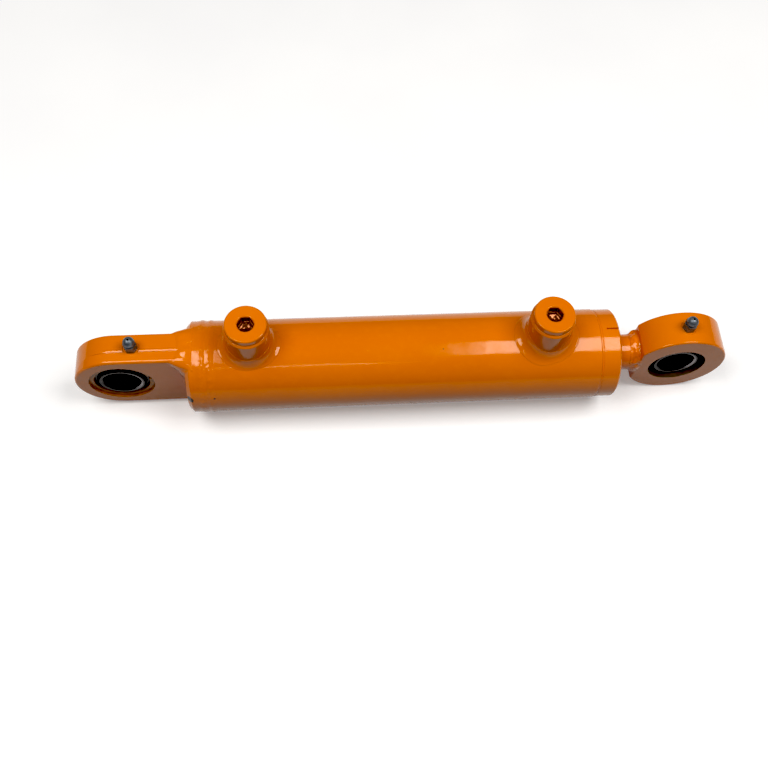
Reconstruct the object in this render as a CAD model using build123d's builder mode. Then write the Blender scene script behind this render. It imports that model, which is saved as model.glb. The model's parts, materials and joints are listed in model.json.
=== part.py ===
from build123d import *
import os
from math import atan, cos, degrees, radians, sin

# Double-acting welded hydraulic cylinder, drawn with its rod fully in.
# Millimetres. The origin is the centre of the cap-end pin bore, +X runs along the
# cylinder towards the rod end, the pins lie along Y and the oil ports face +Z.

os.makedirs("parts", exist_ok=True)

# ---------------------------------------------------------------- driving dimensions
# Main sizes of the cylinder
bore_radius = 20.0
tube_radius = 25.0
rod_radius = 10.0
pin_distance = 310.0
stroke = 125.0

# Clearances: parts that rub, parts that are only seated, parts that never touch
running_gap = 0.05
static_gap = 0.03
free_gap = 0.3

# Spherical plain bearing, the same in both eyes
pin_radius = 10.0
bearing_outer_radius = 17.5
ball_radius = 14.5
ball_width = 16.0
race_half = 6.0
race_gap = 0.08
oil_groove_half = 1.2
oil_groove_depth = 0.8
shoulder_radius = 15.8
circlip_thickness = 1.5
circlip_groove_radius = 18.5
circlip_outer_radius = 18.4
circlip_inner_radius = 14.9
circlip_gap = 3.0
circlip_gap_angle = 78.0
race_edge = 0.6
ball_edge = 0.6
lubrication_hole_radius = 1.2

# Cap-end eye: a forged lug with drafted edges, a low parting ridge and a turned round end
lug_half = 8.7
lug_radius = 24.5
lug_draft = 4.8
lug_end_offset = 1.0
lug_edge = 1.5
ridge_height = 0.3
ridge_half = 1.0
ridge_y = -1.5
lug_turned_radius = 24.85

# End cap, its butt weld and the tube
cap_face_x = 36.5
lug_weld_toe_x = 31.0
lug_weld_toe = 0.3
lug_weld_side_leg = 4.6
lug_weld_top_leg = 0.9
cap_chamfer = 2.2
collar_end_x = 44.5
bevel_radius = 22.0
bevel_width = 2.0
bead_crown = 0.25
cap_inner_x = 56.0
tube_end_x = 261.6
tube_edge = 0.6

# Oil ports
port_positions = {"base": 70.5, "rod": 231.5}
boss_radius = 12.0
boss_top_z = 42.4
boss_edge = 0.9
port_thread_radius = 8.33
port_thread_depth = 13.0
oil_hole_radius = 4.0
port_weld_legs = {"base": 5.0, "rod": 6.3}

# Screw plugs
plug_head_radius = 11.0
plug_head_height = 4.0
plug_edge = 0.5
plug_shank_length = 11.0
hex_socket = 8.0
hex_depth = 6.0
hex_countersink = 0.9
plug_lead = 1.0
plug_seal_inner = 8.8
plug_seal_outer = 10.3
plug_seal_height = 1.5

# Gland and what seals it
collar_radius = 24.6
collar_start_x = 262.0
collar_edge = 0.9
gland_end_x = 272.3
gland_inner_x = 236.3
gland_thread_radius = 21.5
gland_thread_x = 247.0
thread_lead = 1.5
gland_neck_radius = 23.2
rod_hole_radius = rod_radius + free_gap
gland_spigot_radius = bore_radius - static_gap
o_ring_groove_x = 239.5
o_ring_groove_width = 4.6
o_ring_groove_radius = 17.4
o_ring_section = 1.27
backup_width = 1.4
guide_groove_x = 241.0
guide_groove_width = 10.0
guide_groove_radius = 11.6
rod_seal_x = 254.0
rod_seal_width = 7.0
rod_seal_radius = 13.5
wiper_x = 265.0
wiper_width = 4.5
wiper_radius = 13.0
wiper_mouth_radius = 11.8
wiper_lip_length = 1.0
wiper_lip_tip = 0.6
lip_notch_half = 0.8
lip_notch_depth = 3.0
slot_start_x = 265.2
slot_width = 1.0
slot_depth = 1.6
slot_y = 2.2

# Piston and its fastening
spigot_radius = 7.0
spigot_end_x = cap_inner_x + free_gap
nut_start_x = 58.0
nut_height = 11.0
nut_across_flats = 22.0
land_start_x = 75.5
land_end_x = 99.5
land_radius = bore_radius - free_gap
nose_radius = 14.0
ring_groove_radius = 17.4
ring_groove_width = 5.0
ring_groove_starts = [77.5, 92.5]
ring_split = 1.5
seal_groove_x = 84.3
seal_groove_width = 6.4
seal_groove_radius = 15.0
seal_split_radius = 17.5
bore_seal_x = 86.0
bore_seal_width = 3.0
bore_seal_radius = 9.2
sleeve_radius = 15.0
rod_shoulder_x = gland_inner_x - free_gap - stroke
rod_lead = 0.5

# Rod eye
eye_radius = 27.0
eye_half = 9.75
eye_edge = 1.0
eye_flat = 23.0
eye_bead_length = 5.0
eye_bead_height = 2.2
eye_bead_hollow = 0.8
eye_bead_half = 10.9

# Grease nipples
nipple_hex = 6.4
nipple_hex_height = 4.8
nipple_waist_radius = 2.8
nipple_waist_height = 0.5
nipple_head_radius = 3.2
nipple_height = 9.3
nipple_shank_radius = 2.5
nipple_shank_length = 4.5
nipple_channel_radius = 0.6
spot_face_radius = 4.4
spot_face_depth = 0.3
spot_face_height = 2.0
cap_nipple_x = 8.8
rod_nipple_x = 310.0
grease_hole_radius = nipple_shank_radius + static_gap
grease_hole_reach = 5.0

# How far a cutting tool runs past the face it cuts
overrun = 1.0


# ---------------------------------------------------------------- shared shapes
def finish(builder, label):
    """Names a finished piece and writes it to its own file."""
    builder.part.label = label
    export_step(builder.part, f"parts/{label}.step")


def turned(outline):
    """A solid turned about the cylinder's axis; the outline is a list of (x, radius)."""
    with BuildPart() as piece:
        with BuildSketch(Plane.XY):
            with BuildLine():
                Polyline(*outline, close=True)
            make_face()
        revolve(axis=Axis.X)
    return piece


def turned_ring(label, start_x, end_x, inner, outer):
    """A plain ring about the cylinder's axis."""
    outline = [(start_x, inner), (start_x, outer), (end_x, outer), (end_x, inner)]
    finish(turned(outline), label)


def split_ring(label, start_x, end_x, inner, outer):
    """A ring about the cylinder's axis that is cut through at the bottom."""
    whole = turned([(start_x, inner), (start_x, outer), (end_x, outer), (end_x, inner)])
    with BuildPart() as ring:
        add(whole.part)
        with Locations(((start_x + end_x) / 2, 0, -(inner + outer) / 2)):
            Box(end_x - start_x + 1, ring_split, outer - inner + 2, mode=Mode.SUBTRACT)
    finish(ring, label)


def o_ring(label, centre_x, centre_radius, section_radius):
    """A round-section ring about the cylinder's axis."""
    with BuildPart() as ring:
        with BuildSketch(Plane.XY):
            with Locations((centre_x, centre_radius)):
                Circle(section_radius)
        revolve(axis=Axis.X)
    finish(ring, label)


def pin_line(pin_x):
    """The line that a pin lies on."""
    return Axis((pin_x, 0, 0), (0, 1, 0))


def pin_section(pin_x):
    """Sketch plane through a pin's line: local x is a radius, local y runs along the pin."""
    return Plane(origin=(pin_x, 0, 0), x_dir=(1, 0, 0), z_dir=(0, 0, 1))


def pin_cross_plane(pin_x, y):
    """Plane square to a pin, at height y along it, with its normal along +Y."""
    return Plane(origin=(pin_x, y, 0), x_dir=(0, 0, 1), z_dir=(0, 1, 0))


def bearing_seat(pin_x, shoulder_side, half_width):
    """What is cut from an eye: the bearing's bore, its shoulder and the circlip groove.

    shoulder_side is -1 where the shoulder is on the -Y face and +1 where it is on the +Y face.
    """
    open_side = -shoulder_side
    groove_start = open_side * race_half
    groove_end = open_side * (race_half + circlip_thickness + static_gap)
    open_face = open_side * (half_width + overrun)
    shoulder_start = shoulder_side * race_half
    shoulder_face = shoulder_side * (half_width + overrun)
    outline = [
        (0, shoulder_face),
        (shoulder_radius, shoulder_face),
        (shoulder_radius, shoulder_start),
        (bearing_outer_radius, shoulder_start),
        (bearing_outer_radius, groove_start),
        (circlip_groove_radius, groove_start),
        (circlip_groove_radius, groove_end),
        (bearing_outer_radius, groove_end),
        (bearing_outer_radius, open_face),
        (0, open_face),
    ]
    with BuildPart() as seat:
        with BuildSketch(pin_section(pin_x)):
            with BuildLine():
                Polyline(*outline, close=True)
            make_face()
        revolve(axis=pin_line(pin_x))
    return seat.part


def bearing(end, pin_x):
    """Outer ring and ball of a spherical plain bearing."""
    groove_radius = bearing_outer_radius - oil_groove_depth
    outer = bearing_outer_radius - static_gap / 3
    outline = [
        (pin_radius, race_half),
        (outer - race_edge, race_half),
        (outer, race_half - race_edge),
        (outer, oil_groove_half),
        (groove_radius, oil_groove_half / 2),
        (groove_radius, -oil_groove_half / 2),
        (outer, -oil_groove_half),
        (outer, race_edge - race_half),
        (outer - race_edge, -race_half),
        (pin_radius, -race_half),
    ]
    with BuildPart() as race:
        with BuildSketch(pin_section(pin_x)):
            with BuildLine():
                Polyline(*outline, close=True)
            make_face()
        revolve(axis=pin_line(pin_x))
        with Locations((pin_x, 0, 0)):
            Sphere(ball_radius + race_gap, mode=Mode.SUBTRACT)
            Cylinder(lubrication_hole_radius, 2 * bearing_outer_radius + overrun,
                     mode=Mode.SUBTRACT)
    finish(race, f"{end}_bearing_race")

    with BuildPart() as ball:
        with Locations((pin_x, 0, 0)):
            Sphere(ball_radius)
            Box(2 * ball_radius, ball_width, 2 * ball_radius, mode=Mode.INTERSECT)
            Cylinder(pin_radius, ball_width + overrun, rotation=(90, 0, 0), mode=Mode.SUBTRACT)
        bore_rims = ball.edges().filter_by(GeomType.CIRCLE).filter_by(
            lambda rim: abs(rim.radius - pin_radius) < static_gap)
        chamfer(bore_rims, ball_edge)
    finish(ball, f"{end}_bearing_ball")


def circlip(end, pin_x, side):
    """Flat snap ring that holds a bearing in its bore, with a plain gap towards +X."""
    start_y = side * (race_half + circlip_thickness / 2 + static_gap / 2)
    with BuildPart() as clip:
        with BuildSketch(pin_cross_plane(pin_x, start_y)):
            Circle(circlip_outer_radius)
            Circle(circlip_inner_radius, mode=Mode.SUBTRACT)
            with PolarLocations((circlip_outer_radius + circlip_inner_radius) / 2, 1,
                                start_angle=circlip_gap_angle):
                Rectangle(circlip_outer_radius, circlip_gap, mode=Mode.SUBTRACT)
        extrude(amount=circlip_thickness / 2 - static_gap / 2, both=True)
    finish(clip, f"{end}_circlip")


def grease_nipple(end, x, surface_z):
    """Ball-headed grease nipple screwed into the top of an eye."""
    top = surface_z + nipple_height
    hex_top = surface_z + nipple_hex_height
    waist_top = hex_top + nipple_waist_height
    head_middle = top - nipple_head_radius
    with BuildPart() as nipple:
        with BuildSketch(Plane.XY.offset(surface_z)):
            with Locations((x, 0)):
                RegularPolygon(nipple_hex / 2, 6, major_radius=False)
        extrude(amount=nipple_hex_height)
        with BuildSketch(Plane.XZ):
            with BuildLine():
                Polyline((x, hex_top), (x + nipple_waist_radius, hex_top),
                         (x + nipple_waist_radius, waist_top),
                         (x + nipple_head_radius, head_middle))
                RadiusArc((x + nipple_head_radius, head_middle), (x, top),
                          -nipple_head_radius)
                Line((x, top), (x, hex_top))
            make_face()
        revolve(axis=Axis((x, 0, 0), (0, 0, 1)))
        with Locations((x, 0, surface_z)):
            Cylinder(nipple_shank_radius, nipple_shank_length,
                     align=(Align.CENTER, Align.CENTER, Align.MAX))
        with Locations((x, 0, top)):
            Cylinder(nipple_channel_radius, 2 * (nipple_height + nipple_shank_length),
                     mode=Mode.SUBTRACT)
    finish(nipple, f"{end}_grease_nipple")


def grease_hole(x, surface_z):
    """Cuts the nipple's spot face, and its hole down into the bearing's bore."""
    with Locations((x, 0, surface_z)):
        Cylinder(spot_face_radius, spot_face_height,
                 align=(Align.CENTER, Align.CENTER, Align.MIN), mode=Mode.SUBTRACT)
    with Locations((x, 0, bearing_outer_radius - grease_hole_reach)):
        Cylinder(grease_hole_radius, surface_z + overrun,
                 align=(Align.CENTER, Align.CENTER, Align.MIN), mode=Mode.SUBTRACT)


# ---------------------------------------------------------------- cap-end eye
lug_length = cap_face_x + lug_end_offset
cap_eye_seat = bearing_seat(0, 1, lug_half)


def lug_outline(half_height):
    """The lug's outline: a round end struck just beyond the pin's line, and two flat edges."""
    with Locations((-lug_end_offset, 0)):
        Circle(half_height)
        Rectangle(2 * lug_length, 2 * half_height, align=(Align.MIN, Align.CENTER))


with BuildPart() as cap_eye:
    with BuildSketch(Plane.XZ):
        lug_outline(lug_radius)
    extrude(amount=lug_half, both=True, taper=lug_draft)
    side_rims = cap_eye.edges().filter_by(
        lambda rim: abs(abs(rim.center().Y) - lug_half) < static_gap)
    fillet(side_rims, lug_edge)
    with BuildSketch(Plane.XZ.offset(-ridge_y)):
        lug_outline(lug_radius + ridge_height)
    extrude(amount=ridge_half, both=True, taper=degrees(atan(ridge_height / ridge_half)))
    with BuildSketch(Plane.XZ):
        Circle(lug_turned_radius)
        Rectangle(cap_face_x, 2 * lug_turned_radius, align=(Align.MIN, Align.CENTER))
    extrude(amount=lug_half, both=True, mode=Mode.INTERSECT)
    add(cap_eye_seat, mode=Mode.SUBTRACT)
    grease_hole(cap_nipple_x, lug_radius - spot_face_depth)
finish(cap_eye, "cap_eye")

bearing("cap", 0)
circlip("cap", 0, -1)
grease_nipple("cap", cap_nipple_x, lug_radius - spot_face_depth)

# ---------------------------------------------------------------- end cap and tube
bevel_end_x = collar_end_x + bevel_width
tube_start_x = bevel_end_x + bevel_width
bead_end_x = tube_start_x + bevel_width
bead_middle_x = (collar_end_x + bead_end_x) / 2
cap_spigot_radius = bore_radius - static_gap
cap_lead = 0.8

end_cap = turned([
    (cap_face_x, 0),
    (cap_face_x, tube_radius - cap_chamfer),
    (cap_face_x + cap_chamfer, tube_radius),
    (collar_end_x, tube_radius),
    (bevel_end_x, bevel_radius),
    (tube_start_x, bevel_radius),
    (tube_start_x, cap_spigot_radius),
    (cap_inner_x - cap_lead, cap_spigot_radius),
    (cap_inner_x, cap_spigot_radius - cap_lead),
    (cap_inner_x, 0),
])
finish(end_cap, "end_cap")

# The butt weld fills the V between the cap's collar and the tube
with BuildPart() as cap_weld:
    with BuildSketch(Plane.XY):
        with BuildLine():
            Polyline((collar_end_x, tube_radius), (bevel_end_x, bevel_radius),
                     (tube_start_x, bevel_radius), (bead_end_x, tube_radius))
            ThreePointArc((bead_end_x, tube_radius), (bead_middle_x, tube_radius + bead_crown),
                          (collar_end_x, tube_radius))
        make_face()
    revolve(axis=Axis.X)
finish(cap_weld, "cap_weld")

tube_blank = turned([
    (tube_start_x, bore_radius),
    (tube_start_x, bevel_radius),
    (bead_end_x, tube_radius),
    (tube_end_x - tube_edge, tube_radius),
    (tube_end_x, tube_radius - tube_edge),
    (tube_end_x, gland_thread_radius + static_gap),
    (gland_thread_x - free_gap, gland_thread_radius + static_gap),
    (gland_thread_x - free_gap - thread_lead, bore_radius),
])
with BuildPart() as barrel_tube:
    add(tube_blank.part)
    for port_x in port_positions.values():
        with Locations((port_x, 0, 0)):
            Cylinder(oil_hole_radius, tube_radius + overrun, mode=Mode.SUBTRACT,
                     align=(Align.CENTER, Align.CENTER, Align.MIN))
finish(barrel_tube, "barrel_tube")

# ---------------------------------------------------------------- weld round the lug
# A fillet weld: its section grows from the lug's own outline to the end cap's face
with BuildPart() as cap_eye_weld:
    with BuildSketch(Plane.YZ.offset(lug_weld_toe_x)):
        Rectangle(2 * (lug_half + lug_weld_toe), 2 * (lug_radius + lug_weld_toe))
    with BuildSketch(Plane.YZ.offset(cap_face_x)):
        Rectangle(2 * (lug_half + lug_weld_side_leg), 2 * (lug_radius + lug_weld_top_leg))
    loft()
    Cylinder(tube_radius + bead_crown, 3 * cap_face_x, rotation=(0, 90, 0),
             mode=Mode.INTERSECT)
    add(cap_eye.part, mode=Mode.SUBTRACT)
finish(cap_eye_weld, "cap_eye_weld")

# ---------------------------------------------------------------- oil ports and plugs
plug_top_z = boss_top_z + plug_head_height


def tube_cylinder(around_x, mode):
    """The tube's outer surface as a solid, near a port."""
    with Locations((around_x, 0, 0)):
        Cylinder(tube_radius, 4 * boss_radius, rotation=(0, 90, 0), mode=mode)


for port, port_x in port_positions.items():
    with BuildPart() as boss:
        with Locations((port_x, 0, 0)):
            Cylinder(boss_radius, boss_top_z, align=(Align.CENTER, Align.CENTER, Align.MIN))
        chamfer(boss.edges().sort_by(Axis.Z)[-1], boss_edge)
        tube_cylinder(port_x, Mode.SUBTRACT)
        with Locations((port_x, 0, boss_top_z)):
            CounterBoreHole(oil_hole_radius, port_thread_radius, port_thread_depth)
    finish(boss, f"{port}_port_boss")

    with BuildPart() as port_weld:
        tube_cylinder(port_x, Mode.ADD)
        with Locations((port_x, 0, 0)):
            Cylinder(boss_radius, boss_top_z, align=(Align.CENTER, Align.CENTER, Align.MIN))
        saddle = port_weld.edges().filter_by(
            lambda rim: rim.geom_type not in (GeomType.LINE, GeomType.CIRCLE)
            and rim.center().Z > 0)
        fillet(saddle, port_weld_legs[port])
        tube_cylinder(port_x, Mode.SUBTRACT)
        with Locations((port_x, 0, 0)):
            Cylinder(boss_radius, 3 * boss_top_z, mode=Mode.SUBTRACT)
    finish(port_weld, f"{port}_port_weld")

    with BuildPart() as plug:
        with Locations((port_x, 0, boss_top_z)):
            Cylinder(plug_head_radius, plug_head_height,
                     align=(Align.CENTER, Align.CENTER, Align.MIN))
        chamfer(plug.edges().sort_by(Axis.Z)[-1], plug_edge)
        with Locations((port_x, 0, boss_top_z)):
            Cylinder(port_thread_radius - running_gap, plug_shank_length,
                     align=(Align.CENTER, Align.CENTER, Align.MAX))
        chamfer(plug.edges().sort_by(Axis.Z)[0], plug_lead)
        with BuildSketch(Plane.XY.offset(plug_top_z)):
            with Locations((port_x, 0)):
                RegularPolygon(hex_socket / 2, 6, major_radius=False)
        extrude(amount=-hex_depth, mode=Mode.SUBTRACT)
        with Locations((port_x, 0, plug_top_z)):
            Cone(hex_socket / 2, hex_socket / 2 + hex_countersink, hex_countersink,
                 mode=Mode.SUBTRACT, align=(Align.CENTER, Align.CENTER, Align.MAX))
        with BuildSketch(Plane.XY.offset(boss_top_z)):
            with Locations((port_x, 0)):
                Circle(plug_seal_outer)
                Circle(plug_seal_inner, mode=Mode.SUBTRACT)
        extrude(amount=plug_seal_height, mode=Mode.SUBTRACT)
    finish(plug, f"{port}_port_plug")

    with BuildPart() as plug_seal:
        with BuildSketch(Plane.XY.offset(boss_top_z)):
            with Locations((port_x, 0)):
                Circle(plug_seal_outer - static_gap)
                Circle(plug_seal_inner + static_gap, mode=Mode.SUBTRACT)
        extrude(amount=plug_seal_height - static_gap)
    finish(plug_seal, f"{port}_plug_seal")

# ---------------------------------------------------------------- gland and its seals
o_ring_groove_end = o_ring_groove_x + o_ring_groove_width
guide_groove_end = guide_groove_x + guide_groove_width
rod_seal_end = rod_seal_x + rod_seal_width
wiper_end = wiper_x + wiper_width

gland_blank = turned([
    (gland_inner_x, rod_hole_radius),
    (gland_inner_x, gland_spigot_radius - tube_edge),
    (gland_inner_x + tube_edge, gland_spigot_radius),
    (o_ring_groove_x, gland_spigot_radius),
    (o_ring_groove_x, o_ring_groove_radius),
    (o_ring_groove_end, o_ring_groove_radius),
    (o_ring_groove_end, gland_spigot_radius),
    (gland_thread_x, gland_spigot_radius),
    (gland_thread_x, gland_thread_radius - tube_edge),
    (gland_thread_x + tube_edge, gland_thread_radius),
    (tube_end_x, gland_thread_radius),
    (tube_end_x, gland_neck_radius),
    (collar_start_x, gland_neck_radius),
    (collar_start_x, collar_radius - tube_edge),
    (collar_start_x + tube_edge, collar_radius),
    (gland_end_x - collar_edge, collar_radius),
    (gland_end_x, collar_radius - collar_edge),
    (gland_end_x, wiper_mouth_radius),
    (wiper_end, wiper_mouth_radius),
    (wiper_end, wiper_radius),
    (wiper_x, wiper_radius),
    (wiper_x, rod_hole_radius),
    (rod_seal_end, rod_hole_radius),
    (rod_seal_end, rod_seal_radius),
    (rod_seal_x, rod_seal_radius),
    (rod_seal_x, rod_hole_radius),
    (guide_groove_end, rod_hole_radius),
    (guide_groove_end, guide_groove_radius),
    (guide_groove_x, guide_groove_radius),
    (guide_groove_x, rod_hole_radius),
])
with BuildPart() as gland:
    add(gland_blank.part)
    with Locations((slot_start_x, slot_y, collar_radius - slot_depth)):
        Box(gland_end_x, slot_width, 2 * slot_depth, mode=Mode.SUBTRACT,
            align=(Align.MIN, Align.CENTER, Align.MIN))
finish(gland, "gland")

rod_rub_radius = rod_radius + running_gap
backup_end_x = o_ring_groove_end - static_gap
o_ring("gland_o_ring", o_ring_groove_x + o_ring_section + static_gap,
       (o_ring_groove_radius + bore_radius) / 2, o_ring_section)
turned_ring("gland_backup_ring", backup_end_x - backup_width, backup_end_x,
            o_ring_groove_radius + static_gap, gland_spigot_radius)
split_ring("rod_guide_ring", guide_groove_x + running_gap, guide_groove_end - running_gap,
           rod_rub_radius, guide_groove_radius - static_gap)

# The rod seal is a U-cup: a notch opens its two lips towards the pressure
seal_front_x = rod_seal_x + running_gap
seal_back_x = rod_seal_end - running_gap
seal_outer = rod_seal_radius - static_gap
seal_middle = (rod_rub_radius + seal_outer) / 2
finish(turned([
    (seal_back_x, rod_rub_radius),
    (seal_front_x, rod_rub_radius),
    (seal_front_x, seal_middle - lip_notch_half),
    (seal_front_x + lip_notch_depth, seal_middle),
    (seal_front_x, seal_middle + lip_notch_half),
    (seal_front_x, seal_outer),
    (seal_back_x, seal_outer),
]), "rod_seal")

# The wiper's scraping lip stands out of the gland's mouth
finish(turned([
    (wiper_x + running_gap, rod_rub_radius),
    (wiper_x + running_gap, wiper_radius - static_gap),
    (wiper_end - running_gap, wiper_radius - static_gap),
    (wiper_end - running_gap, wiper_mouth_radius - static_gap),
    (gland_end_x, wiper_mouth_radius - static_gap),
    (gland_end_x + wiper_lip_length, rod_rub_radius + wiper_lip_tip),
    (gland_end_x + wiper_lip_length, rod_rub_radius),
]), "rod_wiper")

# ---------------------------------------------------------------- piston
spigot_seat = spigot_radius + static_gap
bore_seal_end = bore_seal_x + bore_seal_width
first_groove, second_groove = ring_groove_starts
first_groove_end = first_groove + ring_groove_width
second_groove_end = second_groove + ring_groove_width
seal_groove_end = seal_groove_x + seal_groove_width
piston_start_x = nut_start_x + nut_height

finish(turned([
    (piston_start_x, spigot_seat),
    (piston_start_x, nose_radius),
    (land_start_x, nose_radius),
    (land_start_x, land_radius - tube_edge),
    (land_start_x + tube_edge, land_radius),
    (first_groove, land_radius),
    (first_groove, ring_groove_radius),
    (first_groove_end, ring_groove_radius),
    (first_groove_end, land_radius),
    (seal_groove_x, land_radius),
    (seal_groove_x, seal_groove_radius),
    (seal_groove_end, seal_groove_radius),
    (seal_groove_end, land_radius),
    (second_groove, land_radius),
    (second_groove, ring_groove_radius),
    (second_groove_end, ring_groove_radius),
    (second_groove_end, land_radius),
    (land_end_x - tube_edge, land_radius),
    (land_end_x, land_radius - tube_edge),
    (land_end_x, spigot_seat),
    (bore_seal_end, spigot_seat),
    (bore_seal_end, bore_seal_radius),
    (bore_seal_x, bore_seal_radius),
    (bore_seal_x, spigot_seat),
]), "piston")

rub_radius = bore_radius - running_gap
for name, groove_start in zip(("rear", "front"), ring_groove_starts):
    split_ring(f"piston_guide_ring_{name}", groove_start + running_gap,
               groove_start + ring_groove_width - running_gap,
               ring_groove_radius + running_gap, rub_radius)
turned_ring("piston_seal", seal_groove_x + running_gap, seal_groove_end - running_gap,
            seal_split_radius + static_gap, rub_radius)
turned_ring("piston_seal_energiser", seal_groove_x + running_gap,
            seal_groove_end - running_gap, seal_groove_radius + running_gap,
            seal_split_radius)
o_ring("piston_bore_seal", (bore_seal_x + bore_seal_end) / 2,
       (spigot_radius + bore_seal_radius) / 2,
       (bore_seal_radius - spigot_radius) / 2 - static_gap)
turned_ring("stop_sleeve", land_end_x, rod_shoulder_x, spigot_seat, sleeve_radius)

with BuildPart() as piston_nut:
    with BuildSketch(Plane.YZ.offset(nut_start_x)):
        RegularPolygon(nut_across_flats / 2, 6, major_radius=False)
        Circle(spigot_seat, mode=Mode.SUBTRACT)
    extrude(amount=nut_height)
finish(piston_nut, "piston_nut")

# ---------------------------------------------------------------- rod
eye_flat_x = pin_distance - eye_flat
finish(turned([
    (spigot_end_x, 0),
    (spigot_end_x, spigot_radius - rod_lead),
    (spigot_end_x + rod_lead, spigot_radius),
    (rod_shoulder_x, spigot_radius),
    (rod_shoulder_x, rod_radius - rod_lead),
    (rod_shoulder_x + rod_lead, rod_radius),
    (eye_flat_x, rod_radius),
    (eye_flat_x, 0),
]), "piston_rod")

# ---------------------------------------------------------------- rod eye
rod_eye_seat = bearing_seat(pin_distance, -1, eye_half)
with BuildPart() as rod_eye:
    with Locations((pin_distance, 0, 0)):
        Cylinder(eye_radius, 2 * eye_half, rotation=(90, 0, 0))
    with Locations((eye_flat_x, 0, 0)):
        Box(eye_radius, 3 * eye_half, 3 * eye_radius, mode=Mode.SUBTRACT,
            align=(Align.MAX, Align.CENTER, Align.CENTER))
    face_rims = rod_eye.edges().filter_by(
        lambda rim: abs(abs(rim.center().Y) - eye_half) < static_gap)
    fillet(face_rims, eye_edge)
    add(rod_eye_seat, mode=Mode.SUBTRACT)
    grease_hole(rod_nipple_x, eye_radius - spot_face_depth)
finish(rod_eye, "rod_eye")

bearing("rod", pin_distance)
circlip("rod", pin_distance, 1)
grease_nipple("rod", rod_nipple_x, eye_radius - spot_face_depth)

# A fillet weld runs round the rod where it butts against the eye's flat
bead_start_x = eye_flat_x - eye_bead_length
bead_inner = rod_radius + static_gap / 2
with BuildPart() as rod_eye_weld:
    with BuildSketch(Plane.XY):
        with BuildLine():
            Polyline((bead_start_x, bead_inner), (eye_flat_x, bead_inner),
                     (eye_flat_x, rod_radius + eye_bead_height))
            ThreePointArc((eye_flat_x, rod_radius + eye_bead_height),
                          (eye_flat_x - eye_bead_length / 2, rod_radius + eye_bead_hollow),
                          (bead_start_x, bead_inner))
        make_face()
    revolve(axis=Axis.X)
    with Locations((eye_flat_x, 0, 0)):
        Box(4 * eye_bead_length, 2 * eye_bead_half, 2 * eye_radius, mode=Mode.INTERSECT)
finish(rod_eye_weld, "rod_eye_weld")
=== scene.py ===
"""Looks for the hydraulic cylinder: paint, steels, seals, weld beads, floor, light and camera."""

import json
import math

import bmesh
import bpy
from mathutils import Matrix, Vector, noise


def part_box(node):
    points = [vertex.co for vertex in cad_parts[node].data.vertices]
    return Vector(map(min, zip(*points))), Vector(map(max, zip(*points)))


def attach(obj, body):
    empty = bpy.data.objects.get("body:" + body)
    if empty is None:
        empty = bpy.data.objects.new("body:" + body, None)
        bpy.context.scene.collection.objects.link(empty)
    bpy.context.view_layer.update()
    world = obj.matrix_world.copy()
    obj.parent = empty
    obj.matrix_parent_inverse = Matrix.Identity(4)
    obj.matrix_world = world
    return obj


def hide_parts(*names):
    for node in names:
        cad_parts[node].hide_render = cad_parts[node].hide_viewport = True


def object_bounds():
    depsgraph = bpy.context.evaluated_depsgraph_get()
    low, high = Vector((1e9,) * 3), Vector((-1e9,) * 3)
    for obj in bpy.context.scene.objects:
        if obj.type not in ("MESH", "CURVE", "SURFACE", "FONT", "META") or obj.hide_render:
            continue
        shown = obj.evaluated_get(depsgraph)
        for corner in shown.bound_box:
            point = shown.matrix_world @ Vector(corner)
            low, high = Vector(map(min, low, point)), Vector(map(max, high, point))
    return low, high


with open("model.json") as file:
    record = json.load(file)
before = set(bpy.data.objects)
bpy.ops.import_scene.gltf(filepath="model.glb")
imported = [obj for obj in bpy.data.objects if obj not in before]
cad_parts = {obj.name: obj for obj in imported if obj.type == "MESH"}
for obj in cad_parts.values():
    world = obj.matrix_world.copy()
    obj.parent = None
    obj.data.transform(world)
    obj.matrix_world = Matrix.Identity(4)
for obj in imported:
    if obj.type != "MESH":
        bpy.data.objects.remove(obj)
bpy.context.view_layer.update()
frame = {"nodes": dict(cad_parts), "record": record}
nodes = frame["nodes"]
MM = 0.001


# ------------------------------------------------------------------ sizes from the frame, in mm
def low(node):
    """The low corner of a node's box."""
    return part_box(node)[0] / MM


def high(node):
    """The high corner of a node's box."""
    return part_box(node)[1] / MM


def middle(node):
    """The middle of a node's box."""
    return (low(node) + high(node)) / 2


tube_radius = high("barrel_tube").y
tube_end_x = high("barrel_tube").x
cap_face_x = low("end_cap").x
cap_joint_x = middle("cap_weld").x
lug_half = high("cap_eye").y
lug_height = high("cap_eye").z
rod_radius = high("piston_rod").y
eye_flat_x = low("rod_eye").x
eye_half = high("rod_eye").y
gland_end_x = high("gland").x
boss_radius = (high("base_port_boss").x - low("base_port_boss").x) / 2
race_radius = high("cap_bearing_race").z
ball_half = high("cap_bearing_ball").y
cap_pin_x = middle("cap_bearing_ball").x
rod_pin_x = middle("rod_bearing_ball").x

# ------------------------------------------------------------------ sizes that no box gives, in mm
COLLAR_LENGTH = 10.3  # of the gland's collar, outside the tube
CAP_CHAMFER = 2.2
PIN_RADIUS = 10.0
SHOULDER_RADIUS = 15.8  # of the hole beside the bearing in the rod eye
SOCKET_RADIUS = 4.0  # of the plugs' hexagon sockets, to a flat
SOCKET_DEPTH = 6.0
LUG_EDGE_DROP = 0.95  # from the ridge along the lug's edge down to the edges of its faces
WELD_UNDER = 0.35  # how deep a bead reaches into what it joins


# ------------------------------------------------------------------ shader helpers
RAGGEDNESS = 1.6  # how far in mm the limit of a dark spot wanders


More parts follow.
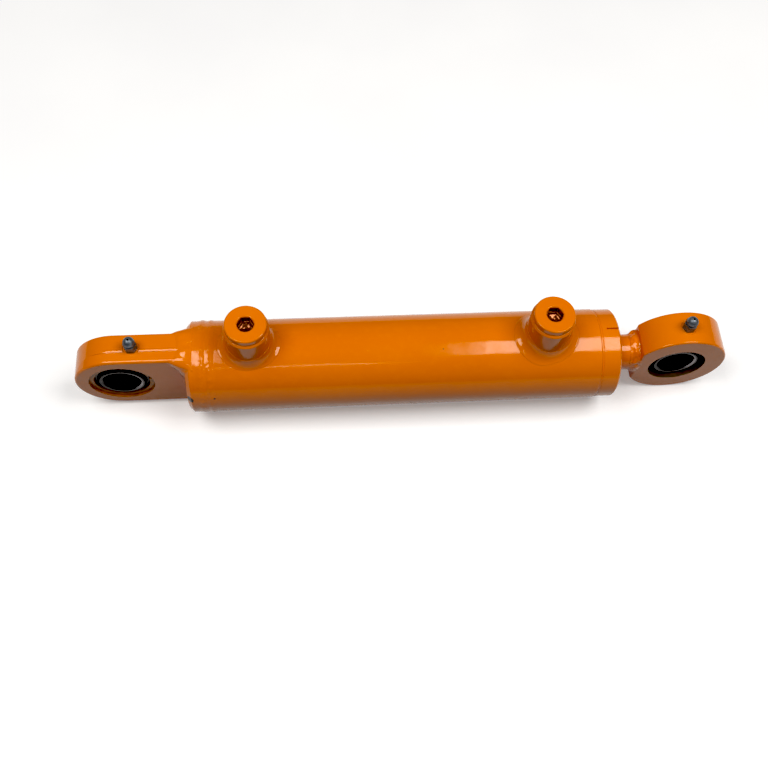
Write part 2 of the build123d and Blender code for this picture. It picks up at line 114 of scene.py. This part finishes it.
class Shader:
    """A material's node tree, with short calls for the nodes that the looks below use."""

    def __init__(self, name):
        self.material = bpy.data.materials.new(name)
        self.material.use_nodes = True
        self.tree = self.material.node_tree
        self.surface = self.tree.nodes["Principled BSDF"]
        self.place = self.add("ShaderNodeTexCoord").outputs["Object"]
        parts = self.add("ShaderNodeSeparateXYZ", Vector=self.place).outputs
        self.x, self.y, self.z = parts["X"], parts["Y"], parts["Z"]

    def add(self, kind, settings=None, **inputs):
        """A node with its settings, and its inputs set or linked by name."""
        made = self.tree.nodes.new(kind)
        for key, value in (settings or {}).items():
            setattr(made, key, value)
        for key, value in inputs.items():
            self.feed(made.inputs[key.replace("_", " ")], value)
        return made

    def feed(self, socket, value):
        """Links a socket to another, or sets its value."""
        if isinstance(value, bpy.types.NodeSocket):
            self.tree.links.new(value, socket)
        else:
            socket.default_value = value

    def noise(self, scale, detail=2.0, roughness=0.5):
        """Noise with about scale features a metre."""
        made = self.add("ShaderNodeTexNoise", Vector=self.place, Scale=scale,
                        Detail=detail, Roughness=roughness)
        return made.outputs["Fac"]

    def ramp(self, value, start, end, at_start=0.0, at_end=1.0):
        """Maps start..end smoothly to at_start..at_end."""
        made = self.add("ShaderNodeMapRange", {"interpolation_type": "SMOOTHSTEP"}, Value=value)
        for key, number in (("From Min", start), ("From Max", end),
                            ("To Min", at_start), ("To Max", at_end)):
            made.inputs[key].default_value = number
        return made.outputs["Result"]

    def math(self, operation, first, second=0.0):
        """One arithmetic step."""
        made = self.add("ShaderNodeMath", {"operation": operation})
        self.feed(made.inputs[0], first)
        self.feed(made.inputs[1], second)
        return made.outputs[0]

    def times(self, first, second):
        """A product."""
        return self.math("MULTIPLY", first, second)

    def mix(self, factor, first, second):
        """A mix of two colours."""
        made = self.add("ShaderNodeMix", {"data_type": "RGBA"})
        self.feed(made.inputs["Factor"], factor)
        for socket, value in ((made.inputs[6], first), (made.inputs[7], second)):
            if not isinstance(value, bpy.types.NodeSocket):
                value = (*value, 1.0)
            self.feed(socket, value)
        return made.outputs[2]

    def blend(self, factor, first, second):
        """A mix of two numbers."""
        made = self.add("ShaderNodeMix", {"data_type": "FLOAT"})
        for socket, value in zip(made.inputs[:4], (factor, None, first, second)):
            if value is not None:
                self.feed(socket, value)
        return made.outputs[0]

    def bump(self, height, distance, below=None):
        """A bump of that depth in metres, over another."""
        made = self.add("ShaderNodeBump", Height=height, Distance=distance)
        if below is not None:
            self.feed(made.inputs["Normal"], below)
        return made.outputs["Normal"]

    def distance(self, centre):
        """Distance in mm from a point, roughened so that a limit put on it comes out ragged."""
        gap = self.add("ShaderNodeVectorMath", {"operation": "DISTANCE"})
        self.feed(gap.inputs[0], self.place)
        gap.inputs[1].default_value = Vector(centre) * MM
        ragged = self.times(self.noise(900, 3), RAGGEDNESS)
        return self.math("ADD", self.times(gap.outputs["Value"], 1 / MM), ragged)

    def from_axis(self, along, centre):
        """Distance in mm from the axis along "Y" or "Z" through a point."""
        first = self.math("SUBTRACT", self.x, centre[0] * MM)
        second = self.z if along == "Y" else self.y
        squares = self.math("ADD", self.times(first, first), self.times(second, second))
        return self.times(self.math("SQRT", squares), 1 / MM)

    def set(self, **inputs):
        """Sets or links the Principled shader's inputs."""
        for key, value in inputs.items():
            if key.endswith("Color") and not isinstance(value, bpy.types.NodeSocket):
                value = (*value, 1.0)
            self.feed(self.surface.inputs[key.replace("_", " ")], value)
        return self.material


# ------------------------------------------------------------------ orange paint
ORANGE = (0.77, 0.228, 0.0)
ORANGE_THICK = (0.71, 0.198, 0.0)
ORANGE_THIN = (0.80, 0.250, 0.0)
NEAR_BLACK = (0.022, 0.018, 0.014)
ENAMEL_IOR = 1.5
EDGE_ROUNDING = 0.0005
WAVE_DEPTH = 0.00018
PEEL_DEPTH = 0.000022
NIB_DEPTH = 0.00006
PAINT_EDGE_WANDER = 0.0012
PAINT_EDGE_HALF = 0.00005
CAP_DARK_SPOT = (cap_face_x + 1.6, -tube_radius + 2.0, 7.0)
PIT = (cap_joint_x + 3.6, -tube_radius + 1.3, 8.0)
SPECK = (174.3, -6.8, 24.1)


def dark_spot(s, colour, centre, bare, whole, depth=1.0):
    """Near-black colour within bare mm of a point, back to the given colour beyond whole mm."""
    dark_mask = s.ramp(s.distance(centre), bare, whole, depth, 0.0)
    return s.mix(dark_mask, colour, NEAR_BLACK)


def paint_colour(s):
    """The enamel's colour: a little deeper where it lies thick, near black at three small spots."""
    clouds = s.ramp(s.noise(18, 2), 0.3, 0.7)
    colour = s.mix(s.times(clouds, 0.5), ORANGE, ORANGE_THICK)
    fine = s.ramp(s.noise(240, 2), 0.45, 0.8)
    colour = s.mix(s.times(fine, 0.3), colour, ORANGE_THIN)
    # A near-black spot on the lower front of the cap's chamfer, then a pit and a speck in the
    # paint.
    colour = dark_spot(s, colour, CAP_DARK_SPOT, bare=2.6, whole=3.1)
    colour = dark_spot(s, colour, PIT, bare=1.2, whole=1.5)
    return dark_spot(s, colour, SPECK, bare=1.0, whole=1.2, depth=0.6)


def paint_normal(s, peel=1.0):
    """Soft edges, then slow waves, orange peel and a few dust nibs."""
    soft_edges = s.add("ShaderNodeBevel", {"samples": 6}, Radius=EDGE_ROUNDING).outputs["Normal"]
    waves = s.bump(s.noise(75, 1), WAVE_DEPTH * peel, soft_edges)
    peel_normal = s.bump(s.noise(620, 2, 0.45), PEEL_DEPTH * peel, waves)
    dots = s.add("ShaderNodeTexVoronoi", Vector=s.place, Scale=150.0).outputs["Distance"]
    sparse = s.ramp(s.noise(60, 1), 0.62, 0.70)
    nibs = s.times(s.ramp(dots, 0.02, 0.075, 1.0, 0.0), sparse)
    return s.bump(nibs, NIB_DEPTH, peel_normal)


def paint_roughness(s):
    """Gloss that varies a little over the surface."""
    return s.ramp(s.noise(90, 3), 0.3, 0.7, 0.10, 0.17)


def orange_paint():
    """Thick gloss enamel sprayed over the whole assembled cylinder."""
    s = Shader("orange enamel")
    return s.set(Base_Color=paint_colour(s), Roughness=paint_roughness(s), IOR=ENAMEL_IOR,
                 Normal=paint_normal(s))


def painted_eye(name, pin_x, bore, inside):
    """Enamel outside; inside the bearing's bore the given darker colour, mottled: painted shade in
    the cap eye and on its circlip, a dark olive brown in the rod eye.
    """
    s = Shader(name)
    within = s.ramp(s.from_axis("Y", (pin_x, 0)), bore + 0.10, bore + 0.35, 1.0, 0.0)
    # Inside the bore the colour is mottled down to 0.6 of the given one; for the cap eye and its
    # circlip it is painted shade of the bore.
    darkened_bore = s.mix(s.ramp(s.noise(300, 3), 0.3, 0.7), inside, [0.6 * c for c in inside])
    return s.set(Base_Color=s.mix(within, paint_colour(s), darkened_bore), IOR=ENAMEL_IOR,
                 Roughness=s.blend(within, paint_roughness(s), 0.34), Normal=paint_normal(s))


def painted_plug(port):
    """Enamel outside; down in the hexagon socket a wet, partly metallic dark brown: thin paint over
    steel, darkened as painted shade of the recess.
    """
    s = Shader(f"{port} plug enamel")
    centre = middle(f"{port}_port_plug")
    top = high(f"{port}_port_plug").z
    within = s.ramp(s.from_axis("Z", centre), SOCKET_RADIUS + 0.45, SOCKET_RADIUS + 0.75, 1.0, 0.0)
    below = s.ramp(s.times(s.z, 1 / MM), top - 0.9, top - 0.3, 1.0, 0.0)
    socket = s.times(within, below)
    # The socket's dark brown is thin paint over steel, made darker as painted shade of the recess.
    socket_shade_brown = s.mix(s.ramp(s.noise(420, 3), 0.3, 0.7), (0.30, 0.110, 0.040), (0.20, 0.068, 0.025))
    return s.set(Base_Color=s.mix(socket, paint_colour(s), socket_shade_brown), IOR=ENAMEL_IOR,
                 Metallic=s.times(socket, 0.55), Roughness=paint_roughness(s),
                 Normal=paint_normal(s))


def painted_rod():
    """Hard chrome, with enamel over the part that stands out of the gland when it is sprayed."""
    s = Shader("hard chrome, painted end")
    wander = s.times(s.math("SUBTRACT", s.noise(500, 2), 0.5), PAINT_EDGE_WANDER)
    masked = s.math("ADD", s.x, wander)
    edge = (gland_end_x + 0.4) * MM
    painted = s.ramp(masked, edge - PAINT_EDGE_HALF, edge + PAINT_EDGE_HALF)
    chrome = s.mix(s.ramp(s.noise(160, 4), 0.35, 0.65), (0.60, 0.61, 0.62), (0.52, 0.53, 0.55))
    polish = s.ramp(s.noise(480, 3), 0.3, 0.7, 0.06, 0.14)
    return s.set(Base_Color=s.mix(painted, chrome, paint_colour(s)), IOR=ENAMEL_IOR,
                 Metallic=s.math("SUBTRACT", 1.0, painted), Normal=paint_normal(s, 0.25),
                 Roughness=s.blend(painted, polish, paint_roughness(s)))


# ------------------------------------------------------------------ bare metals, rubber and plastic
PLASTIC_IOR = 1.5


def plain_metal(name, colour, other, roughness, scale, depth, metallic=1.0):
    """A metal with mottled tone and fine grain."""
    s = Shader(name)
    tone = s.mix(s.ramp(s.noise(scale, 4), 0.35, 0.65), colour, other)
    smooth, rough = roughness
    return s.set(Base_Color=tone, Metallic=metallic, Normal=s.bump(s.noise(scale * 9, 2), depth),
                 Roughness=s.ramp(s.noise(scale * 3, 3), 0.3, 0.7, smooth, rough))


def plain_plastic(name, colour, other, roughness, scale, depth):
    """A rubber or plastic with a slight bloom and moulded grain."""
    s = Shader(name)
    tone = s.mix(s.ramp(s.noise(scale, 4), 0.35, 0.65), colour, other)
    smooth, rough = roughness
    return s.set(Base_Color=tone, Normal=s.bump(s.noise(scale * 12, 2), depth), IOR=PLASTIC_IOR,
                 Roughness=s.ramp(s.noise(scale * 3, 3), 0.3, 0.7, smooth, rough))


def ball_steel(name, pin_x):
    """Phosphated ball: near black, with a painted highlight on the rim of its bore, strongest on
    its +X side.
    """
    s = Shader(name)
    dark = s.mix(s.ramp(s.noise(260, 4), 0.35, 0.65), (0.040, 0.037, 0.036), (0.022, 0.021, 0.021))
    radius = s.from_axis("Y", (pin_x, 0))
    rim = s.ramp(radius, PIN_RADIUS + 0.6, PIN_RADIUS + 1.7, 1.0, 0.0)
    outside = s.ramp(s.math("ABSOLUTE", s.times(s.y, 1 / MM)), ball_half - 0.9, ball_half - 0.4)
    highlight_side = s.ramp(s.math("SUBTRACT", s.times(s.x, 1 / MM), pin_x), 0.0, PIN_RADIUS + 1, 0.04, 1.0)
    # Painted highlight: lighter grey on the bore's rim near the ball's faces, strongest on the +X
    # side and nearly gone on the -X side.
    painted_rim_highlight = s.times(s.times(rim, outside), highlight_side)
    rings = s.bump(s.noise(1400, 2), 0.000003)
    return s.set(Base_Color=s.mix(painted_rim_highlight, dark, (0.21, 0.20, 0.205)), Metallic=1.0, Normal=rings,
                 Roughness=s.ramp(s.noise(700, 3), 0.3, 0.7, 0.20, 0.34))


looks = {
    "orange_paint": orange_paint(),
    "chromed_rod": painted_rod(),
    "bearing_steel": plain_metal("race steel", (0.045, 0.042, 0.040), (0.024, 0.023, 0.023),
                                 (0.26, 0.40), 260, 0.000004),
    "zinc_steel": plain_metal("zinc plate", (0.260, 0.285, 0.310), (0.160, 0.180, 0.205),
                              (0.38, 0.52), 420, 0.000012, 0.72),
    "machined_steel": plain_metal("turned steel", (0.42, 0.41, 0.40), (0.33, 0.325, 0.32),
                                  (0.24, 0.38), 300, 0.00001),
    "black_rubber": plain_plastic("nitrile rubber", (0.012, 0.012, 0.012),
                                  (0.03, 0.03, 0.03), (0.45, 0.62), 300, 0.00001),
    "seal_polyurethane": plain_plastic("blue seal polyurethane", (0.02, 0.10, 0.30),
                                       (0.03, 0.14, 0.36), (0.3, 0.45), 200, 0.00001),
    "guide_resin": plain_plastic("woven guide resin", (0.16, 0.10, 0.05),
                                 (0.22, 0.15, 0.08), (0.4, 0.6), 400, 0.00001),
    "white_plastic": plain_plastic("white plastic", (0.75, 0.74, 0.70),
                                   (0.66, 0.65, 0.61), (0.4, 0.55), 300, 0.00001),
}
own_looks = {
    "base_port_plug": painted_plug("base"),
    "rod_port_plug": painted_plug("rod"),
    # Bore colours: a dark orange that is painted shade in the cap eye; a dark olive brown in the
    # rod eye.
    "cap_eye": painted_eye("cap eye enamel", cap_pin_x, race_radius, (0.50, 0.180, 0.0)),
    "rod_eye": painted_eye("rod eye enamel", rod_pin_x, SHOULDER_RADIUS, (0.16, 0.10, 0.014)),
    "cap_bearing_ball": ball_steel("cap ball steel", cap_pin_x),
    "rod_bearing_ball": ball_steel("rod ball steel", rod_pin_x),
    # The circlip lies in the cap eye's bore, so its colour there is the same painted shade.
    "cap_circlip": painted_eye("cap circlip enamel", cap_pin_x, race_radius, (0.52, 0.190, 0.0)),
}


def dress(piece, look):
    """Gives a piece one material."""
    piece.data.materials.clear()
    piece.data.materials.append(look)


for row in frame["record"]["subparts"]:
    node = row["node"]
    dress(nodes[node], own_looks.get(node, looks[row["material_slot"]]))


# ------------------------------------------------------------------ mesh helpers
def lumps(point, size, seed):
    """Smooth noise from about -1 to 1, with lumps of that size in mm."""
    return noise.noise(Vector(point) / size + Vector((seed, -seed, 3 * seed)))


def hump(value, crest, before, after):
    """A round hump: 1 at its crest, 0 from so far before it and so far after it."""
    t = (value - crest) / (after if value > crest else before)
    return math.cos(t * math.pi / 2) ** 2 if abs(t) < 1 else 0.0


def closed_skin(name, sections):
    """A solid from closed sections that follow one another round a closed path, in mm."""
    count, length = len(sections), len(sections[0])
    points = [Vector(point) * MM for section in sections for point in section]
    faces = []
    for i in range(count):
        following = (i + 1) % count
        for j in range(length):
            beside = (j + 1) % length
            faces.append((i * length + j, i * length + beside,
                          following * length + beside, following * length + j))
    mesh = bpy.data.meshes.new(name)
    mesh.from_pydata(points, [], faces)
    made = bmesh.new()
    made.from_mesh(mesh)
    bmesh.ops.recalc_face_normals(made, faces=made.faces)
    made.to_mesh(mesh)
    made.free()
    mesh.shade_smooth()
    piece = bpy.data.objects.new(name, mesh)
    bpy.context.scene.collection.objects.link(piece)
    return piece


def add_weld(name, sections, body, replaced):
    """A painted weld bead that stands for a CAD node."""
    weld = closed_skin(name, sections)
    dress(weld, looks["orange_paint"])
    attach(weld, body)
    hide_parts(replaced)


def curve_between(start, control, end, steps):
    """Points of a quadratic curve."""
    points = []
    for k in range(steps + 1):
        t = k / steps
        points.append(start * (1 - t) ** 2 + control * (2 * t * (1 - t)) + end * t ** 2)
    return points


# ------------------------------------------------------------------ weld beads
def cap_weld_bead():
    """Two low passes of weld round the joint of cap and tube, with the ripples of a lathe weld."""
    turns, across = 600, 60
    start_x, end_x = cap_joint_x - 7.1, cap_joint_x + 4.6
    first_crest, first_height = cap_joint_x - 2.9, 0.36
    second_crest, second_height = cap_joint_x + 1.6, 0.28
    chevron_height, lump_height = 0.02, 0.17
    edge_height = -0.05
    sections = []
    for i in range(turns):
        angle = 2 * math.pi * i / turns
        around = Vector((0, -math.sin(angle), math.cos(angle)))
        arc = angle * tube_radius
        wander = 0.55 * lumps(around * 10, 5, 1.7)
        section = []
        for j in range(across + 1):
            x = start_x + (end_x - start_x) * j / across
            place = Vector((x, *(around.yz * tube_radius)))
            first = hump(x, first_crest + wander, before=3.3, after=2.5)
            second = hump(x, second_crest + wander / 2, before=2.0, after=2.6)
            chevron = math.sin(arc * 2.6 + 0.5 * (x - cap_joint_x) ** 2 + 3 * wander)
            height = first_height * first + second_height * second
            height += chevron_height * chevron * (first + second)
            height += lump_height * lumps(place, 2.8, 4.2) * (first + second)
            if j in (0, across):
                height = edge_height
            section.append(Vector((x, *(around.yz * (tube_radius + height)))))
        for x in (end_x, start_x):
            section.append(Vector((x, *(around.yz * (tube_radius - WELD_UNDER)))))
        sections.append(section)
    add_weld("cap_weld_bead", sections, "barrel", "cap_weld")


def port_weld(port, toe_front, toe_side, top_front, top_side, bulge):
    """A hollow fillet round a port boss: toes are radii from the boss's axis, tops are heights."""
    turns, across = 300, 26
    fit_gap, fullness = 0.02, 0.12
    bulge_at, bulge_spread = 225, 60
    centre_x = (low(f"{port}_port_boss").x + high(f"{port}_port_boss").x) / 2

    def on_tube(radius, out):
        """The height of the tube's skin that far out from the boss's axis."""
        return math.sqrt(tube_radius ** 2 - (radius * out.y) ** 2)

    sections = []
    for i in range(turns):
        angle = 2 * math.pi * i / turns
        out = Vector((math.cos(angle), math.sin(angle), 0))
        highlight_side = out.x ** 2
        uneven = lumps(out * 12, 7, centre_x)
        toe = toe_front + (toe_side - toe_front) * highlight_side + 0.35 * uneven
        toe += bulge * hump(math.degrees(angle), bulge_at, bulge_spread, bulge_spread)
        top = top_front + (top_side - top_front) * highlight_side + 0.4 * lumps(out * 12, 8, 5.5)
        start = out * (boss_radius + fit_gap) + Vector((0, 0, top))
        end = out * toe + Vector((0, 0, on_tube(toe, out) + 0.03))
        corner = out * boss_radius + Vector((0, 0, on_tube(boss_radius, out)))
        control = corner + (start + end - 2 * corner) * fullness
        section = []
        for k, point in enumerate(curve_between(start, control, end, across)):
            t = k / across
            swell = math.sin(math.pi * t)
            shift = 0.10 * swell * lumps(point + Vector((centre_x, 0, 0)), 4.5, 2.3)
            section.append(point + (out + Vector((0, 0, 1))).normalized() * shift)
        under_toe = out * toe + Vector((0, 0, on_tube(toe, out) - WELD_UNDER))
        under = out * (boss_radius - WELD_UNDER)
        section.append(under_toe)
        section.append(under + Vector((0, 0, on_tube(boss_radius, out) - WELD_UNDER)))
        section.append(under + Vector((0, 0, top - WELD_UNDER)))
        sections.append([point + Vector((centre_x, 0, 0)) for point in section])
    add_weld(f"{port}_port_weld_bead", sections, "barrel", f"{port}_port_weld")


def lug_weld():
    """The fillet that joins the flat lug to the end cap's face, longest at the top corners."""
    corner = 1.6
    flat_y, flat_z = lug_half - corner, lug_height - LUG_EDGE_DROP - corner
    across, per_mm, corner_steps = 22, 3.0, 9
    lump_height = 0.34
    limit = tube_radius + 0.12
    path = []
    for quarter in range(4):
        side_y = 1 if quarter in (0, 3) else -1
        side_z = 1 if quarter < 2 else -1
        centre = Vector((side_y * flat_y, side_z * flat_z))
        for k in range(corner_steps):
            a = math.radians(quarter * 90 + k * 90 / (corner_steps - 1))
            out = Vector((math.cos(a), math.sin(a)))
            path.append((centre + out * corner, out))
        last, out = path[-1]
        run = 2 * (flat_y if quarter % 2 == 0 else flat_z)
        along = Vector((-out.y, out.x))
        steps = int(run * per_mm)
        for k in range(1, steps):
            path.append((last + along * run * k / steps, out))
    sections = []
    for flat, out in path:
        on_side = out.x ** 2
        at_top = hump(flat.y / lug_height, crest=1.0, before=0.8, after=1)
        leg_x = 3.2 + 2.3 * (1 - on_side) + 5.2 * at_top * on_side
        leg_x += 0.45 * lumps((flat.x, flat.y, 0), 5, 8.1)
        leg_out = 1.1 + 3.7 * on_side + 0.4 * lumps((flat.x, flat.y, 0), 4, 3.3)
        foot = flat + out * leg_out
        if foot.length > limit:
            foot *= limit / foot.length
        over = 1.8 * hump(foot.length, limit, before=1.2, after=1.0)
        foot_x = cap_face_x + max(0.0, foot.length - tube_radius + CAP_CHAMFER) + over
        start = Vector((cap_face_x - leg_x, *(flat + out * 0.02)))
        end = Vector((foot_x + 0.1, *foot))
        inner = Vector((cap_face_x, *flat))
        fullness = 0.36 + 0.24 * (1 - on_side)
        control = inner + (start + end - 2 * inner) * fullness
        control += Vector((-0.5, *(out * (0.5 + 0.35 * over))))
        section = []
        for k, point in enumerate(curve_between(start, control, end, across)):
            t = k / across
            shift = lump_height * math.sin(math.pi * t) * lumps(point, 3.4, 6.6)
            section.append(point + Vector((-0.7, *(out * 0.7))) * shift)
        section.append(Vector((foot_x + 0.6, *(foot - out * 0.4))))
        section.append(Vector((cap_face_x + 0.4, *(flat - out * 0.5))))
        section.append(Vector((cap_face_x - leg_x, *(flat - out * 0.5))))
        sections.append(section)
    add_weld("cap_eye_weld_bead", sections, "barrel", "cap_eye_weld")


def rod_eye_weld():
    """The hand-laid, lumpy weld between the rod and the flat of its eye."""
    turns, across = 260, 30
    start_x = eye_flat_x - 5.0
    fullness, fine_lump, coarse_lump = 0.35, 0.55, 0.95
    sections = []
    for i in range(turns):
        angle = 2 * math.pi * i / turns
        out = Vector((-math.sin(angle), math.cos(angle)))
        lump = lumps(Vector((0, *out)) * 8, 4.2, 9.4)
        foot = out * (rod_radius + (2.3 + 0.7 * lump))
        over = max(0.0, abs(foot.x) - (eye_half - 0.4))
        foot.x = math.copysign(min(abs(foot.x), eye_half + 0.15), foot.x)
        foot_x = eye_flat_x + min(over, 2.2) * 0.8
        start = Vector((start_x + 0.9 * lump, *(out * (rod_radius + 0.02))))
        end = Vector((foot_x, *foot))
        inner = Vector((eye_flat_x, *(out * rod_radius)))
        control = inner + (start + end - 2 * inner) * fullness + Vector((-0.5, *(out * 0.5)))
        section = []
        for k, point in enumerate(curve_between(start, control, end, across)):
            t = k / across
            swell = math.sin(math.pi * t) ** 0.7
            bead = fine_lump * lumps(point, 2.2, 12.5) + coarse_lump * lumps(point, 4.0, 7.7)
            section.append(point + Vector((-0.55, *(out * 0.85))) * (bead * swell))
        section.append(Vector((foot_x + 0.5, *(foot - out * 0.7))))
        section.append(Vector((eye_flat_x + 0.3, *(out * (rod_radius - 0.5)))))
        section.append(Vector((start_x, *(out * (rod_radius - 0.4)))))
        sections.append(section)
    add_weld("rod_eye_weld_bead", sections, "rod", "rod_eye_weld")


def socket_paint(port):
    """Paint that has run into a plug's hexagon socket and climbs its walls."""
    turns, across = 120, 14
    centre = middle(f"{port}_port_plug")
    bottom = high(f"{port}_port_plug").z - SOCKET_DEPTH
    inside, wall_gap, floor_gap = 0.05, 0.02, 0.02
    thickness, climb_fade = 0.12, 0.75
    sections = []
    for i in range(turns):
        angle = 2 * math.pi * i / turns
        out = Vector((math.cos(angle), math.sin(angle), 0))
        to_flat = math.radians(math.degrees(angle) % 60 - 30)
        wall = SOCKET_RADIUS / math.cos(to_flat) - wall_gap
        climb = 1.7 + 0.4 * lumps(out * 4, 3, centre.x)
        section = []
        for k in range(across + 1):
            r = inside + (wall - inside) * (k / across) ** 0.6
            z = bottom + thickness + climb * math.exp((r - wall) / climb_fade)
            z += 0.14 * lumps(out * r + Vector((centre.x, 0, 0)), 2.6, 3.1)
            section.append(Vector((centre.x, centre.y, z)) + out * r)
        for r in (wall, inside):
            section.append(Vector((centre.x, centre.y, bottom + floor_gap)) + out * r)
        sections.append(section)
    paint = closed_skin(f"{port}_plug_socket_paint", sections)
    # The plug's material makes this pool dark brown, partly as painted shade of the socket.
    dress(paint, own_looks[f"{port}_port_plug"])
    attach(paint, "barrel")


def joint_paint():
    """Paint that has sunk into the joint between tube and gland, nearly filling it."""
    turns, across = 400, 6
    overlap, depth, sag = 0.45, 0.52, 0.15
    start_x, end_x = tube_end_x - overlap, gland_end_x - COLLAR_LENGTH + overlap
    floor_radius = tube_radius - 1.3
    sections = []
    for i in range(turns):
        angle = 2 * math.pi * i / turns
        out = Vector((-math.sin(angle), math.cos(angle)))
        full = tube_radius - depth + 0.22 * lumps(Vector((0, *out)) * 25, 9, 2.2)
        section = []
        for k in range(across + 1):
            t = k / across
            radius = full - sag * math.sin(math.pi * t)
            section.append(Vector((start_x + (end_x - start_x) * t, *(out * radius))))
        section.append(Vector((end_x - 0.3, *(out * floor_radius))))
        section.append(Vector((start_x + 0.3, *(out * floor_radius))))
        sections.append(section)
    paint = closed_skin("gland_joint_paint", sections)
    dress(paint, looks["orange_paint"])
    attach(paint, "barrel")


cap_weld_bead()
joint_paint()
socket_paint("base")
socket_paint("rod")
port_weld("base", toe_front=14.2, toe_side=17.0, top_front=28.6, top_side=30.5, bulge=0.0)
port_weld("rod", toe_front=16.0, toe_side=17.8, top_front=26.5, top_side=31.5, bulge=1.3)
lug_weld()
rod_eye_weld()

# ------------------------------------------------------------------ floor
FLOOR_SIZE = 6.0
FLOOR_CENTRE_X = 0.155
FLOOR_GLOW = 0.31
floor_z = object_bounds()[0].z - 0.1 * MM
bpy.ops.mesh.primitive_plane_add(size=FLOOR_SIZE, location=(FLOOR_CENTRE_X, 0, floor_z))
floor = bpy.context.object
floor.name = "floor"
table = Shader("pale table")
table_tone = table.mix(table.ramp(table.noise(9, 3), 0.3, 0.7),
                       (0.76, 0.76, 0.76), (0.73, 0.73, 0.735))
dress(floor, table.set(Base_Color=table_tone, Roughness=0.6,
                       Normal=table.bump(table.noise(700, 3), 0.00002),
                       Emission_Color=(1.0, 1.0, 1.0), Emission_Strength=FLOOR_GLOW))
floor.visible_diffuse = False

# ------------------------------------------------------------------ light
STUDIO_WHITE = (1.0, 0.985, 0.965)
WORLD_STRENGTH = 0.11
world = bpy.data.worlds.new("studio")
bpy.context.scene.world = world
world.use_nodes = True
background = world.node_tree.nodes["Background"]
background.inputs["Color"].default_value = (*STUDIO_WHITE, 1)
background.inputs["Strength"].default_value = WORLD_STRENGTH


def softbox(name, centre, size_x, size_y, radiance):
    """A soft light that looks straight down; radiance is its brightness as seen."""
    lamp = bpy.data.lights.new(name, "AREA")
    lamp.shape = "RECTANGLE"
    lamp.size = size_x
    lamp.size_y = size_y
    lamp.color = STUDIO_WHITE
    lamp.energy = radiance * math.pi * size_x * size_y
    made = bpy.data.objects.new(name, lamp)
    made.location = centre
    made.visible_camera = False
    bpy.context.scene.collection.objects.link(made)


softbox("right softbox", (0.72, -0.09, 1.02), size_x=0.70, size_y=0.60, radiance=6.9)
softbox("left softbox", (-0.37, -0.09, 1.02), size_x=0.60, size_y=0.60, radiance=6.9)
softbox("front strip", (0.08, -0.66, 1.0), size_x=0.30, size_y=0.035, radiance=8.0)

# ------------------------------------------------------------------ camera
ELEVATION, YAW, ROLL = (math.radians(a) for a in (64.692, 4.080, 2.084))
LENS = 43.9015
SENSOR = 36.0
CAMERA_PLACE = Vector((106.03, -235.98, 467.68)) * MM
VIEW_GAMMA = 0.88
BLACK_LEVEL = 0.035

tilted = Matrix(((1, 0, 0),
                 (0, math.sin(ELEVATION), math.cos(ELEVATION)),
                 (0, -math.cos(ELEVATION), math.sin(ELEVATION))))
to_camera = Matrix.Rotation(ROLL, 3, "Z") @ Matrix.Rotation(YAW, 3, "Y") @ tilted
camera_data = bpy.data.cameras.new("camera")
camera_data.lens = LENS
camera_data.sensor_width = SENSOR
camera_data.clip_start = 0.01
camera = bpy.data.objects.new("camera", camera_data)
bpy.context.scene.collection.objects.link(camera)
camera.matrix_world = Matrix.Translation(CAMERA_PLACE) @ to_camera.transposed().to_4x4()
bpy.context.scene.camera = camera

view = bpy.context.scene.view_settings
view.view_transform = "Standard"
view.gamma = VIEW_GAMMA
view.use_curve_mapping = True
view.curve_mapping.black_level = (BLACK_LEVEL,) * 3
view.curve_mapping.update()
